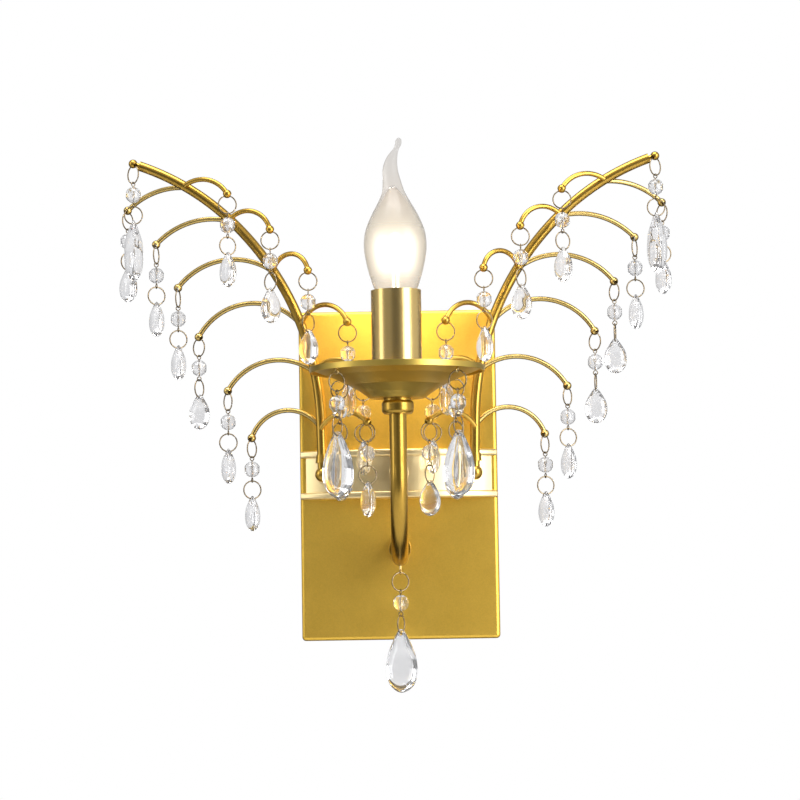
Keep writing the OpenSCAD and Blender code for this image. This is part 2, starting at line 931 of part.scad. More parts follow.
module bulb_filament() {
    color(cream)
        translate([0, -arm_reach, cap_z + shell_wall + fit]) {
            cylinder(h = stem_glass_h, d = stem_glass_d);
            for (side = [-1, 1])
                translate([side * stem_glass_d / 4, 0, stem_glass_h - over])
                    cylinder(h = filament_h, d = filament_wire);
            translate([0, 0, stem_glass_h + filament_h / 2])
                cylinder(h = filament_h / 2, d = filament_w);
        }
}

// Wires, from the lamp holder through the arm into the plate

module lead_wire(side) {
    translate([side * lead_x, 0, 0])
        arm_rod(lead_d, shell_floor_z - fit, 0);
    translate([side * (lead_x + lead_bend_r), -arm_end_y, -arm_low])
        wire_arc(lead_bend_r, lead_d, side > 0 ? 90 : 0, side > 0 ? 180 : 90);
    translate([side * (lead_x + lead_bend_r), -arm_end_y + lead_bend_r, -arm_low])
        rotate([0, side * 90, 0])
            cylinder(h = lead_out + connector_in, d = lead_d);
}

module lead_wires() {
    color(cream)
        for (side = [-1, 1])
            lead_wire(side);
}

module wire_connectors() {
    color(brown)
        for (side = [-1, 1])
            translate([side * (lead_x + lead_bend_r + lead_out), -arm_end_y + lead_bend_r, -arm_low])
                rotate([0, side * 90, 0])
                    difference() {
                        cylinder(h = connector_h, d1 = connector_d1, d2 = connector_d2);
                        translate([0, 0, -over])
                            cylinder(h = connector_in + over + fit, d = lead_d + 2 * fit);
                    }
}

// Names of the pieces
sides = ["left", "right"];

wall_bracket();
mounting_stud();
ground_screw();
backplate();
bowed_band();
cap_nut();
stem_seats();
stem_screws();
left_stem();
right_stem();
left_outer_branches();
left_inner_branches();
right_outer_branches();
right_inner_branches();
arm_tube();
arm_escutcheon();
lock_nuts();
strand_eyelets();
collar();
dish();
candle_sleeve();
socket_body();
socket_shell();
lead_wires();
wire_connectors();
bulb_glass();
bulb_cap();
bulb_filament();
tip_strand(-1);  // left_tip_strand
tip_strand(1);  // right_tip_strand
finial_strand();
for (s = [0, 1])
    for (i = [0 : 5]) {
        outer_strand(2 * s - 1, i);
        inner_strand(2 * s - 1, i);
    }
for (i = [0 : 3])
    dish_strand(i);
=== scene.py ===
"""Looks of the crystal wall sconce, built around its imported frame.

Metres, and mm where a heading says so; x to the right, y into the wall, z up; the origin is on the
wall behind the plate.
"""
import json
import math
import random

import bmesh
import bpy
from mathutils import Matrix, Vector


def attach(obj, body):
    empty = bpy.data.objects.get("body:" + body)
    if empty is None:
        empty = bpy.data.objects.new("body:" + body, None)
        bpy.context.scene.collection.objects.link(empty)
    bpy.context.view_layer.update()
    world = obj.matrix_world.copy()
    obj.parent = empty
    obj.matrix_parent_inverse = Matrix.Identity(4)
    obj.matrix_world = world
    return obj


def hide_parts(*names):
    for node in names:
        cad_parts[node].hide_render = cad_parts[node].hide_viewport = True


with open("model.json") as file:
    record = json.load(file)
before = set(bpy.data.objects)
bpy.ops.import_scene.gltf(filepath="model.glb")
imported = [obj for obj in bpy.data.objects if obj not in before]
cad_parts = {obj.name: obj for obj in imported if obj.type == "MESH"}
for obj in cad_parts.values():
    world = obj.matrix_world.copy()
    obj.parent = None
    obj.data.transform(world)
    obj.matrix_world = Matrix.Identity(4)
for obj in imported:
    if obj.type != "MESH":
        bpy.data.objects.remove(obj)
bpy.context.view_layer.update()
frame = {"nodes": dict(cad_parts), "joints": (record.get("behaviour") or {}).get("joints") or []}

# One mm in metres
MM = 0.001

# Sizes of a strand in mm, as in the frame; heights count from the pivot in the upper ring's wire
RING_R, RING_WIRE = 5.4, 0.8
RINGS_APART = 25.0
BEAD_D, BEAD_BORE, BEAD_Z = 10.0, 1.2, -17.9
PIN_WIRE, PIN_STRAIGHT, EYE_R = 0.6, 5.2, 1.3
DROP_HANG = 0.25
# Drops: top is how far one reaches above the middle of its hole
SMALL = {"width": 14.2, "thickness": 9.0, "height": 21.8, "top": 2.1, "hole": 2.0}
BIG = {"width": 20.5, "thickness": 12.0, "height": 38.0, "top": 2.8, "hole": 2.6}

# Share of these sizes at which the crystals are shown, which keeps them inside their solids and
# clear of each other when they swing
DROP_SCALE = (0.962, 0.962, 0.985, 1)
BEAD_SCALE = 0.975

# Outline of a drop from its top down: share of its height, and half width as a share
SMALL_OUTLINE = [
    (0, 0), (0.012, 0.14), (0.04, 0.24), (0.16, 0.5), (0.35, 0.85), (0.5, 0.97), (0.6, 0.985),
    (0.72, 0.95), (0.85, 0.78), (0.94, 0.5), (0.985, 0.22), (1, 0),
]
BIG_OUTLINE = [
    (0, 0), (0.01, 0.12), (0.03, 0.19), (0.13, 0.42), (0.34, 0.78), (0.5, 0.94), (0.62, 0.985),
    (0.74, 0.95), (0.86, 0.79), (0.94, 0.53), (0.985, 0.25), (1, 0),
]
OUTLINE_STEPS = 4
# How far below its solid's top a drop starts, and how much shorter it is, in mm
OUTLINE_LOW, OUTLINE_CUT = 0.04, 0.1
# Height of the drop's middle, as a share from its top
DROP_MIDDLE = 0.6
# Rings of a drop's face: how far the outline shrinks, and half thickness as a share; the first two
# are the edges of the bevel
DROP_LEVELS = [
    (1.0, 0.12), (0.88, 0.5), (0.8, 0.62), (0.68, 0.76), (0.54, 0.87), (0.4, 0.94), (0.24, 0.98),
    (0.1, 0.997),
]
# A drop is thinner above this share of its height, down to this share of its thickness
NECK_SHARE, NECK_THIN = 0.35, 0.55
HOLE_SIDES = 20
# Corners of a drop that are nearer than this in mm are one
DROP_WELD = 0.001

# Rows of a bead's facets: latitude in degrees, and turn as a share of a facet
BEAD_ROWS = [(70, 0.5), (46, 0), (22, 0.5), (-22, 0), (-46, 0.5), (-70, 0)]
BEAD_SIDES = 12
# Height of the bore's rim, as a share of the bead's radius
BEAD_RIM = 0.965
# The most that a bead is turned, in radians
BEAD_TURN = 0.6

# Fineness of the wires, and how far a wire's rounded end stands out, as a share of its radius
RING_STEPS, RING_SIDES = 44, 10
EYE_STEPS, PIN_SIDES = 18, 8
WIRE_END = 0.4
# Half the slit in a ring, and how far the slit is turned at least and at most, in degrees
SLIT_HALF = 2.2
SLIT_TURNS = (20, 60)
# Where the wire of a pin's eye starts and ends, in degrees
EYE_START, EYE_END = 262, -82

# How far each strand's upper ring, and its lower ring with the drop, are turned from facing the
# front, in degrees
TURNS = {
    "left_outer_strand": [(60, 45), (78, 25), (80, 22), (-47, 65), (-59, 15), (63, 20)],
    "right_outer_strand": [(-60, 20), (68, 8), (-62, 80), (-55, 80), (58, 20), (60, 20)],
    "left_inner_strand": [(10, 32), (0, -47), (5, 52), (12, 15), (25, 12), (-32, 15)],
    "right_inner_strand": [(0, 36), (5, 55), (-8, 30), (10, -15), (-25, 12), (32, 60)],
    "dish_strand": [(20, 38), (-20, 40), (38, 62), (-26, 60)],
    "left_tip_strand": [(-48, 10)],
    "right_tip_strand": [(48, 8)],
    "finial_strand": [(25, 68)],
}

# Seed of the random turns of beads and slits
SEED = 7

# Facets of a bent tube that meet at less than this angle are shaded as one surface
ROUND_BELOW = math.radians(38)
# Corners of a bent tube that are nearer than this are one
TUBE_WELD = 0.000002
ROUND_NODES = (
    "left_stem", "right_stem", "left_outer_branches", "left_inner_branches",
    "right_outer_branches", "right_inner_branches",
)

# Bulb in mm, and its outline from the neck up: height, radius and shift as shares
BULB_D, BULB_H, BULB_Z, BULB_T = 36.2, 94.0, 97.15, 0.9
ARM_REACH = 108.0
BULB_RINGS = [
    (0, 0.35, 0), (0.03, 0.55, 0), (0.064, 0.685, 0), (0.128, 0.8, 0), (0.192, 0.892, 0),
    (0.255, 0.96, 0), (0.314, 1, 0), (0.372, 0.992, 0), (0.425, 0.945, 0), (0.48, 0.84, 0),
    (0.537, 0.7, 0), (0.596, 0.53, -0.008), (0.66, 0.37, -0.03), (0.735, 0.29, -0.08),
    (0.81, 0.24, -0.125), (0.88, 0.17, -0.06), (0.93, 0.095, 0.07), (0.955, 0.1, 0.135),
    (0.98, 0.1, 0.155), (0.995, 0.06, 0.165), (1, 0.01, 0.165),
]
BULB_STEPS, BULB_SIDES = 4, 56
# The hollow ends at this share of the height, in a dome: a higher power makes it flatter, and the
# square of its radius doesn't fall under the least share
BULB_HOLLOW = 0.7
DOME_POWER, DOME_LEAST = 14, 0.02

# Centre of the glow that the bulb's glass shows, and between which distances from it the glow fades
GLOW_CENTRE = (0.0, -0.108, 0.125)
GLOW_NEAR, GLOW_FAR = 0.016, 0.062
# Light that the bulb throws on the rest: place, power in watts, colour and radius
BULB_LIGHT_AT = (0.0, -0.108, 0.133)
BULB_LIGHT_POWER, BULB_LIGHT_COLOUR, BULB_LIGHT_R = 0.56, (1.0, 0.77, 0.52), 0.012

# Camera, fitted to the photograph
CAMERA_AT = (0.001379, -1.518, -0.064636)
CAMERA_PITCH, CAMERA_ROLL = math.radians(4.204), math.radians(0.9)
LENS, SENSOR = 110.81, 36.0
CLIP_START, CLIP_END = 0.05, 50.0

# Floor below the object: its grey, and what the camera sees added to the light that falls on it
FLOOR_REACH, FLOOR_BACK, FLOOR_Z = 1.3, 0.02, -0.6
FLOOR_GREY, FLOOR_GLOW = 0.8, 0.7

# Softboxes: name, place, the point it faces, size and power in watts
SOFTBOXES = [
    ("softbox_right", (1.25, -1.15, 0.3), (0, -0.05, 0.05), (0.85, 1.5), 26),
    ("softbox_left", (-1.6, -0.55, 0.5), (0, -0.05, 0.05), (0.5, 1.3), 5),
    ("softbox_top", (-0.1, -0.45, 1.5), (0, -0.05, 0), (1.4, 0.8), 27),
]

# Strength of the world's light on matt surfaces
WORLD_PLAIN = 0.4

# Height of the bumps in a surface
BUMP_DEPTH = 0.00005
# How strongly the clouds and the grain of a metal show in its tone, its bumps and its roughness
CLOUD_CONTRAST, GRAIN_CONTRAST = 0.48, 6.0
GRAIN_BUMP, GRAIN_ROUGH, LEAST_ROUGH = 1.8, 0.4, 0.02


# Shader nodes

class Graph:
    """Short ways to add shader nodes to a material or world."""

    def __init__(self, owner):
        owner.use_nodes = True
        self.nodes = owner.node_tree.nodes
        self.links = owner.node_tree.links
        self.nodes.clear()

    def add(self, kind, inputs):
        """New node; each input is given as a constant or as an output of another node."""
        node = self.nodes.new("ShaderNode" + kind)
        for socket, value in inputs.items():
            if isinstance(value, bpy.types.NodeSocket):
                self.links.new(value, node.inputs[socket])
            else:
                node.inputs[socket].default_value = value
        return node

    def noise(self, scale, detail=2.0, roughness=0.5):
        """Noise that stays in place on the object."""
        place = self.add("TexCoord", {}).outputs["Object"]
        inputs = {"Vector": place, "Scale": scale, "Detail": detail, "Roughness": roughness}
        return self.add("TexNoise", inputs).outputs["Fac"]

    def spread(self, source, values, ends=(0.0, 1.0), smooth=False):
        """Goes from the first to the second of two values as the source goes between its ends."""
        inputs = {"Value": source, "To Min": values[0], "To Max": values[1]}
        inputs.update({"From Min": ends[0], "From Max": ends[1]})
        node = self.add("MapRange", inputs)
        if smooth:
            node.interpolation_type = "SMOOTHSTEP"
        return node.outputs[0]

    def combine(self, operation, *terms):
        """Sum, product or the like of numbers and outputs."""
        node = self.add("Math", dict(enumerate(terms)))
        node.operation = operation
        return node.outputs[0]

    def ramp(self, source, stops):
        """Colour by the source's value; each stop is a value and its colour."""
        node = self.add("ValToRGB", {0: source})
        elements = node.color_ramp.elements
        for element, (position, colour) in zip(elements, (stops[0], stops[-1])):
            element.position = position
            element.color = (*colour, 1)
        for position, colour in stops[1:-1]:
            elements.new(position).color = (*colour, 1)
        return node.outputs[0]

    def bump(self, height, strength):
        """Normals of a surface with this height."""
        inputs = {"Height": height, "Strength": strength, "Distance": BUMP_DEPTH}
        return self.add("Bump", inputs).outputs[0]

    def choose(self, factor, one, two):
        """One shader where the factor is 0, and the other where it is 1."""
        return self.add("MixShader", {0: factor, 1: one.outputs[0], 2: two.outputs[0]})

    def light_path(self):
        """Outputs that say which kind of ray is being followed."""
        return self.add("LightPath", {}).outputs

    def show(self, shader):
        """Makes a shader the material's surface."""
        self.add("OutputMaterial", {0: shader.outputs[0]})


def new_material(name):
    """New material and its empty graph."""
    material = bpy.data.materials.new(name)
    return material, Graph(material)


def shaded(colour, shares):
    """The colour with each of its channels taken down to a share."""
    return tuple(channel * share for channel, share in zip(colour, shares))


# Materials

def metal(name, colour, dark, rough, grain, grain_size=0.9, polish=0.0):
    """Lacquered metal: clouds of tone, and a grain of this size in mm in colour, roughness and bump."""
    material, graph = new_material(name)
    clouds = graph.noise(scale=45.0, detail=4.0)
    grains = graph.noise(scale=1.0 / MM / grain_size, roughness=0.65)
    contrast = grain * GRAIN_CONTRAST
    grain_tone = graph.combine("MULTIPLY_ADD", grains, contrast, 0.5 - contrast / 2)
    tone = graph.combine("MULTIPLY_ADD", clouds, CLOUD_CONTRAST, grain_tone)
    uneven = LEAST_ROUGH + grain * GRAIN_ROUGH
    shader = graph.add("BsdfPrincipled", {
        "Metallic": 1.0,
        "Coat Weight": polish,
        "Coat Roughness": 0.12,
        "Base Color": graph.ramp(tone, [(0.15, dark), (0.95, colour)]),
        "Roughness": graph.spread(grains, (rough - uneven, rough + uneven)),
        "Normal": graph.bump(grains, grain * GRAIN_BUMP),
    })
    graph.show(shader)
    return material


def glass(name, tint, ior):
    """Clear cut glass with faint cloudy streaks; light passes it instead of leaving black shadows."""
    material, graph = new_material(name)
    streaks = graph.noise(scale=260.0, detail=3.0)
    cloudy = shaded(tint, (0.94, 0.94, 0.95))
    shader = graph.add("BsdfPrincipled", {
        "Transmission Weight": 0.96,
        "IOR": ior,
        "Base Color": graph.ramp(streaks, [(0.3, cloudy), (0.62, tint)]),
        "Roughness": graph.spread(streaks, (0.0, 0.03)),
    })
    clear = graph.add("BsdfTransparent", {"Color": (0.93, 0.94, 0.95, 1)})
    graph.show(graph.choose(graph.light_path()["Is Shadow Ray"], shader, clear))
    return material


def plastic(name, colour, rough):
    """Moulded plastic with a faint uneven tone and a fine texture."""
    material, graph = new_material(name)
    speck = graph.noise(scale=700.0, detail=3.0)
    dark = shaded(colour, (0.8, 0.8, 0.8))
    shader = graph.add("BsdfPrincipled", {
        "Base Color": graph.ramp(speck, [(0.0, dark), (1.0, colour)]),
        "Roughness": graph.spread(speck, (rough - 0.08, rough + 0.08)),
        "Normal": graph.bump(speck, strength=0.15),
    })
    graph.show(shader)
    return material


def lit_glass(name):
    """Hazy glass of the lit bulb: beige above, with painted light towards its glow's centre, a paler
    cream tint and a faint painted glow.
    """
    material, graph = new_material(name)
    place = graph.add("TexCoord", {}).outputs["Object"]
    from_centre = graph.add("VectorMath", {0: place, 1: GLOW_CENTRE})
    from_centre.operation = "DISTANCE"
    far = graph.spread(from_centre.outputs["Value"], (0.0, 1.0), (GLOW_NEAR, GLOW_FAR))
    # painted light: the glass's own beige tint turns paler cream towards the glow's centre, where the
    # filament's light falls
    glow_painted_tints = [(0.0, (1.0, 0.955, 0.87)), (0.4, (0.93, 0.87, 0.8)), (1.0, (0.86, 0.835, 0.81))]
    glows = [
        (0.04, (0.5, 0.46, 0.39)), (0.1, (0.12, 0.1, 0.07)),
        (0.18, (0.012, 0.009, 0.006)), (1.0, (0.0, 0.0, 0.0)),
    ]
    # painted glow, strongest where the glass faces the camera and fading towards its outline
    facing = graph.add("LayerWeight", {}).outputs["Facing"]
    shader = graph.add("BsdfPrincipled", {
        "Transmission Weight": 1.0,
        "IOR": 1.2,
        "Base Color": graph.ramp(far, glow_painted_tints),
        "Emission Color": graph.ramp(far, glows),
        "Emission Strength": graph.spread(facing, (0.5, 0.0), (0.08, 0.38), smooth=True),
        "Roughness": graph.spread(far, (0.3, 0.06)),
    })
    clear = graph.add("BsdfTransparent", {})
    graph.show(graph.choose(graph.light_path()["Is Shadow Ray"], shader, clear))
    return material


def glowing(name, colour, strength):
    """Glow of the filament, uneven along it."""
    material, graph = new_material(name)
    dark = shaded(colour, (0.8, 0.8, 0.8))
    tone = graph.ramp(graph.noise(scale=300.0), [(0.0, dark), (1.0, colour)])
    graph.show(graph.add("Emission", {"Color": tone, "Strength": strength}))
    return material


PLATE = metal("plate_gold", (0.96, 0.62, 0.1), (0.7, 0.43, 0.06), 0.42, grain=0.1, grain_size=0.8)
GOLD = metal("satin_gold", (0.54, 0.335, 0.065), (0.38, 0.22, 0.03), 0.28, grain=0.003, grain_size=0.5)
# Paler copy of the satin gold for the outer branches: painted light, standing in for the pale highlights
# these rods catch
LIT_ROD_GOLD = metal("pale_gold_painted_light", (0.66, 0.48, 0.17), (0.46, 0.32, 0.09), 0.26, grain=0.003, grain_size=0.5)
DISH = metal("dish_gold", (0.66, 0.475, 0.11), (0.49, 0.34, 0.06), 0.36, grain=0.05, grain_size=0.6)
BAND = metal("band_gold", (0.92, 0.74, 0.4), (0.72, 0.56, 0.27), 0.34, grain=0.03, grain_size=0.6)
SLEEVE = metal("sleeve_gold", (0.74, 0.54, 0.22), (0.56, 0.39, 0.13), 0.25, grain=0.03, grain_size=0.5)
BRASS = metal("polished_brass", (0.8, 0.6, 0.25), (0.6, 0.42, 0.14), 0.18, grain=0.02, grain_size=0.4,
              polish=0.2)
ZINC = metal("zinc_steel", (0.62, 0.63, 0.65), (0.42, 0.43, 0.46), 0.3, grain=0.05, grain_size=0.6)
WIRE = metal("ring_wire", (0.33, 0.26, 0.16), (0.16, 0.12, 0.07), 0.2, grain=0.02, grain_size=0.3)
GREEN = metal("ground_green", (0.1, 0.34, 0.14), (0.06, 0.2, 0.08), 0.35, grain=0.03)
CRYSTAL = glass("crystal", (0.955, 0.955, 0.965), 1.56)
CAST = plastic("white_plastic", (0.82, 0.78, 0.68), 0.45)
CAP = plastic("black_plastic", (0.05, 0.045, 0.04), 0.4)
LAMP = lit_glass("lamp_glass")
FILAMENT = glowing("filament_glow", (1.0, 0.86, 0.62), 5.0)

PAINT = {
    "wall_bracket": ZINC, "mounting_stud": ZINC, "ground_screw": GREEN, "backplate": PLATE,
    "bowed_band": BAND, "cap_nut": BAND, "stem_seats": BAND, "stem_screws": ZINC,
    "left_stem": GOLD, "right_stem": GOLD, "left_outer_branches": LIT_ROD_GOLD, "left_inner_branches": GOLD,
    "right_outer_branches": LIT_ROD_GOLD, "right_inner_branches": GOLD, "arm_tube": GOLD, "arm_escutcheon": GOLD,
    "lock_nuts": BRASS, "strand_eyelets": BRASS, "collar": GOLD, "dish": DISH, "candle_sleeve": SLEEVE,
    "socket_body": CAST, "socket_shell": BRASS, "lead_wires": CAST, "wire_connectors": CAP,
    "bulb_cap": BRASS, "bulb_filament": FILAMENT,
}
for node, material in PAINT.items():
    for slot in frame["nodes"][node].material_slots:
        slot.material = material


# Meshes

def add_object(name, data):
    """New object in the scene that shows a mesh, lamp or camera."""
    made = bpy.data.objects.new(name, data)
    bpy.context.scene.collection.objects.link(made)
    return made


def add_piece(name, mesh, material, body):
    """New visible piece of the sconce, which rides on a body."""
    mesh.materials.clear()
    mesh.materials.append(material)
    piece = add_object(name, mesh)
    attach(piece, body)
    return piece


def smooth_curve(points, steps):
    """Points on a smooth curve through the given ones, with steps between each two."""
    found = []
    last = len(points) - 1
    for i in range(last):
        p0, p1 = points[max(i - 1, 0)], points[i]
        p2, p3 = points[i + 1], points[min(i + 2, last)]
        for k in range(steps):
            t = k / steps
            found.append(tuple(
                0.5 * (2 * b + (c - a) * t + (2 * a - 5 * b + 4 * c - d) * t * t
                       + (3 * b - a - 3 * c + d) * t ** 3)
                for a, b, c, d in zip(p0, p1, p2, p3)))
    found.append(tuple(points[-1]))
    return found


def round_angles(sides, turn=0):
    """Angles of the corners of a regular figure, turned by a share of a side."""
    return [2 * math.pi * (k + turn) / sides for k in range(sides)]


def arc_points(centre, radius, side, up, start, end, steps):
    """Points on an arc in the plane of side and up, from start to end in degrees."""
    return [centre + radius * (side * math.cos(a) + up * math.sin(a))
            for a in (math.radians(start + (end - start) * k / steps) for k in range(steps + 1))]


def join_rings(bm, one, two, smooth=True):
    """Adds the faces between two rings of as many corners to the mesh."""
    for k in range(len(one)):
        n = (k + 1) % len(one)
        bm.faces.new((one[k], one[n], two[n], two[k])).smooth = smooth


def tube(bm, points, radius, sides):
    """Adds a wire along the points to the mesh, with slightly rounded ends."""
    last = len(points) - 1
    rings = []
    normal = (points[1] - points[0]).normalized().orthogonal().normalized()
    for i, point in enumerate(points):
        along = (points[min(i + 1, last)] - points[max(i - 1, 0)]).normalized()
        normal = (normal - along * normal.dot(along)).normalized()
        across = along.cross(normal)
        rings.append([
            bm.verts.new(point + radius * (normal * math.cos(a) + across * math.sin(a)))
            for a in round_angles(sides)])
    for one, two in zip(rings, rings[1:]):
        join_rings(bm, one, two)
    for ring, end, inner in ((rings[0], points[0], points[1]), (rings[-1], points[-1], points[-2])):
        tip = bm.verts.new(end + (end - inner).normalized() * radius * WIRE_END)
        for k in range(sides):
            bm.faces.new((ring[k], ring[(k + 1) % sides], tip)).smooth = True


def mesh_from(bm, name):
    """Mesh as it is; the bmesh is used up."""
    mesh = bpy.data.meshes.new(name)
    bm.to_mesh(mesh)
    bm.free()
    return mesh


def finish_mesh(bm, name):
    """Mesh with its faces turned outwards."""
    bmesh.ops.recalc_face_normals(bm, faces=bm.faces)
    return mesh_from(bm, name)


def merged(parts, name):
    """One mesh from (mesh, matrix) parts, sharp edges kept."""
    bm = bmesh.new()
    for mesh, matrix in parts:
        start = len(bm.verts)
        bm.from_mesh(mesh)
        bm.verts.ensure_lookup_table()
        bmesh.ops.transform(bm, matrix=matrix, verts=bm.verts[start:])
    return mesh_from(bm, name)


# Stems and rods

def build_rods():
    """The bent tubes again, in the frame's own shape, with their facets shaded as one round surface."""
    for node in ROUND_NODES:
        name = node + ".round"
        solid = frame["nodes"][node]
        mesh = bpy.data.meshes.new(name)
        mesh.from_pydata([solid.matrix_world @ v.co for v in solid.data.vertices], [],
                         [tuple(face.vertices) for face in solid.data.polygons])
        bm = bmesh.new()
        bm.from_mesh(mesh)
        bmesh.ops.remove_doubles(bm, verts=bm.verts, dist=TUBE_WELD)
        for face in bm.faces:
            face.smooth = True
        for edge in bm.edges:
            edge.smooth = edge.calc_face_angle(0.0) < ROUND_BELOW
        bm.to_mesh(mesh)
        bm.free()
        piece = add_piece(name, mesh, PAINT[node], "fixture")
        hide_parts(node)


# Strands

def bead_mesh():
    """Round bead with rows of kite-shaped facets and a bore from top to bottom."""
    radius, bore = BEAD_D / 2, BEAD_BORE / 2
    bm = bmesh.new()
    rings = []
    for latitude, turn in BEAD_ROWS:
        reach = radius * math.cos(math.radians(latitude))
        level = radius * math.sin(math.radians(latitude))
        rings.append([
            bm.verts.new((reach * math.cos(b), reach * math.sin(b), level))
            for b in round_angles(BEAD_SIDES, turn)])
    for (_, turn), one, two in zip(BEAD_ROWS, rings, rings[1:]):
        for k in range(BEAD_SIDES):
            n = (k + 1) % BEAD_SIDES
            if turn:
                bm.faces.new((one[k], two[n], two[k]))
                bm.faces.new((one[k], one[n], two[n]))
            else:
                bm.faces.new((one[k], two[k], two[k - 1]))
                bm.faces.new((one[k], one[n], two[k]))
    rims = []
    for end, sign in ((0, 1), (-1, -1)):
        level = sign * radius * BEAD_RIM
        rim = [bm.verts.new((bore * math.cos(b), bore * math.sin(b), level))
               for b in round_angles(BEAD_SIDES, BEAD_ROWS[end][1])]
        join_rings(bm, rings[end], rim, smooth=False)
        rims.append(rim)
    top, low = rims
    for k in range(BEAD_SIDES):
        n = (k + 1) % BEAD_SIDES
        bm.faces.new((top[k], top[n], low[n]))
        bm.faces.new((top[k], low[n], low[k]))
    return finish_mesh(bm, "bead")


def drop_body(name, size, outline):
    """Almond drop: two domed faces inside a bevel that runs along the outline."""
    thickness, height, top = size["thickness"], size["height"], size["top"]
    half = [(max(share, 0) * size["width"] / 2,
             top - OUTLINE_LOW - (height - OUTLINE_CUT) * min(max(down, 0), 1))
            for down, share in smooth_curve(outline, OUTLINE_STEPS)]
    loop = half[1:] + [(-y, z) for y, z in reversed(half[1:-1])] + [half[0]]
    middle = top - height * DROP_MIDDLE
    count = len(loop)
    bm = bmesh.new()
    rims = []
    for sign in (1, -1):
        rings = []
        for shrink, thick in DROP_LEVELS:
            ring = []
            for y, z in loop:
                level = middle + (z - middle) * shrink
                down = (top - level) / height / NECK_SHARE
                thin = NECK_THIN + (1 - NECK_THIN) * min(1.0, down)
                ring.append(bm.verts.new((sign * thick * thin * thickness / 2, y * shrink, level)))
            rings.append(ring)
        for one, two in zip(rings, rings[1:]):
            join_rings(bm, one, two)
        tip = bm.verts.new((sign * thickness / 2, 0, middle))
        for k in range(count):
            n = (k + 1) % count
            bm.faces.new((rings[-1][k], rings[-1][n], tip)).smooth = True
            for crease in rings[:2]:
                bm.edges.get((crease[k], crease[n])).smooth = False
        rims.append(rings[0])
    join_rings(bm, rims[0], rims[1])
    bmesh.ops.remove_doubles(bm, verts=bm.verts, dist=DROP_WELD)
    return add_object(name, finish_mesh(bm, name))


def drop_mesh(name, size, outline):
    """Drop pierced from side to side near its top."""
    body = drop_body(name, size, outline)
    bm = bmesh.new()
    radius = size["hole"] / 2
    bmesh.ops.create_cone(bm, cap_ends=True, segments=HOLE_SIDES, radius1=radius, radius2=radius,
                          depth=2 * size["thickness"], matrix=Matrix.Rotation(math.pi / 2, 4, "Y"))
    for face in bm.faces:
        face.smooth = len(face.verts) == 4
    cutter = add_object(name + "_cut", finish_mesh(bm, name + "_cut"))
    cut = body.modifiers.new("hole", "BOOLEAN")
    cut.operation, cut.object, cut.solver = "DIFFERENCE", cutter, "EXACT"
    bpy.context.view_layer.update()
    pierced = bpy.data.meshes.new_from_object(body.evaluated_get(bpy.context.evaluated_depsgraph_get()))
    bpy.data.objects.remove(body)
    bpy.data.objects.remove(cutter)
    return pierced


def wire_mesh(turn_top, turn_low, dice):
    """Two jump rings and the eye pin through the bead, as one mesh."""
    bm = bmesh.new()
    up = Vector((0, 0, 1))
    for centre, turn in ((-RING_R, turn_top), (-RINGS_APART - RING_R, turn_low)):
        side = Vector((math.cos(math.radians(turn)), math.sin(math.radians(turn)), 0))
        slit = dice.choice((-1, 1)) * dice.uniform(*SLIT_TURNS)
        start, end = slit + SLIT_HALF, slit + 360 - SLIT_HALF
        points = arc_points(up * centre, RING_R, side, up, start, end, RING_STEPS)
        tube(bm, points, RING_WIRE / 2, RING_SIDES)
    eye_z = BEAD_D / 2 + PIN_WIRE / 2 + EYE_R
    eyes = []
    for sign, turn in ((1, turn_top), (-1, turn_low)):
        side = Vector((-math.sin(math.radians(turn)), math.cos(math.radians(turn)), 0))
        centre = up * (BEAD_Z + sign * eye_z)
        eyes.append(arc_points(centre, EYE_R, side, up * sign, EYE_START, EYE_END, EYE_STEPS))
    straight = [up * (BEAD_Z + PIN_STRAIGHT), up * (BEAD_Z - PIN_STRAIGHT)]
    tube(bm, eyes[0][1:][::-1] + straight + eyes[1][1:], PIN_WIRE / 2, PIN_SIDES)
    return finish_mesh(bm, "wires")


def strand_turns(node):
    """Turns of a strand's upper and lower ring."""
    if node in TURNS:
        return TURNS[node][0]
    family, number = node.rsplit("_", 1)
    return TURNS[family][int(number) - 1]


def build_strands():
    """The crystals of each strand as one piece, and its wires as another."""
    bead = bead_mesh()
    small = drop_mesh("small_drop", SMALL, SMALL_OUTLINE)
    big = drop_mesh("big_drop", BIG, BIG_OUTLINE)
    dice = random.Random(SEED)
    bead_place = Matrix.Translation((0, 0, BEAD_Z))
    drop_place = Matrix.Translation((0, 0, -RINGS_APART - 2 * RING_R - DROP_HANG))
    for joint in frame["joints"]:
        node = joint["child"]
        if "strand" not in node:
            continue
        turn_top, turn_low = strand_turns(node)
        hang = Matrix.Translation(Vector(joint["pos_m"])) @ Matrix.Scale(MM, 4)
        bead_turn = Matrix.Rotation(dice.uniform(0, BEAD_TURN), 4, "Z")
        drop_turn = Matrix.Rotation(math.radians(turn_low), 4, "Z")
        drop = small if "inner" in node or "outer" in node else big
        parts = [
            (bead, hang @ bead_place @ bead_turn @ Matrix.Scale(BEAD_SCALE, 4)),
            (drop, hang @ drop_place @ drop_turn @ Matrix.Diagonal(DROP_SCALE)),
        ]
        crystal = add_piece(node + ".crystal", merged(parts, node + ".crystal"), CRYSTAL, node)
        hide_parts(node)
        wires = [(wire_mesh(turn_top, turn_low, dice), hang)]
        add_piece(node + ".wire", merged(wires, node + ".wire"), WIRE, node)


# Bulb

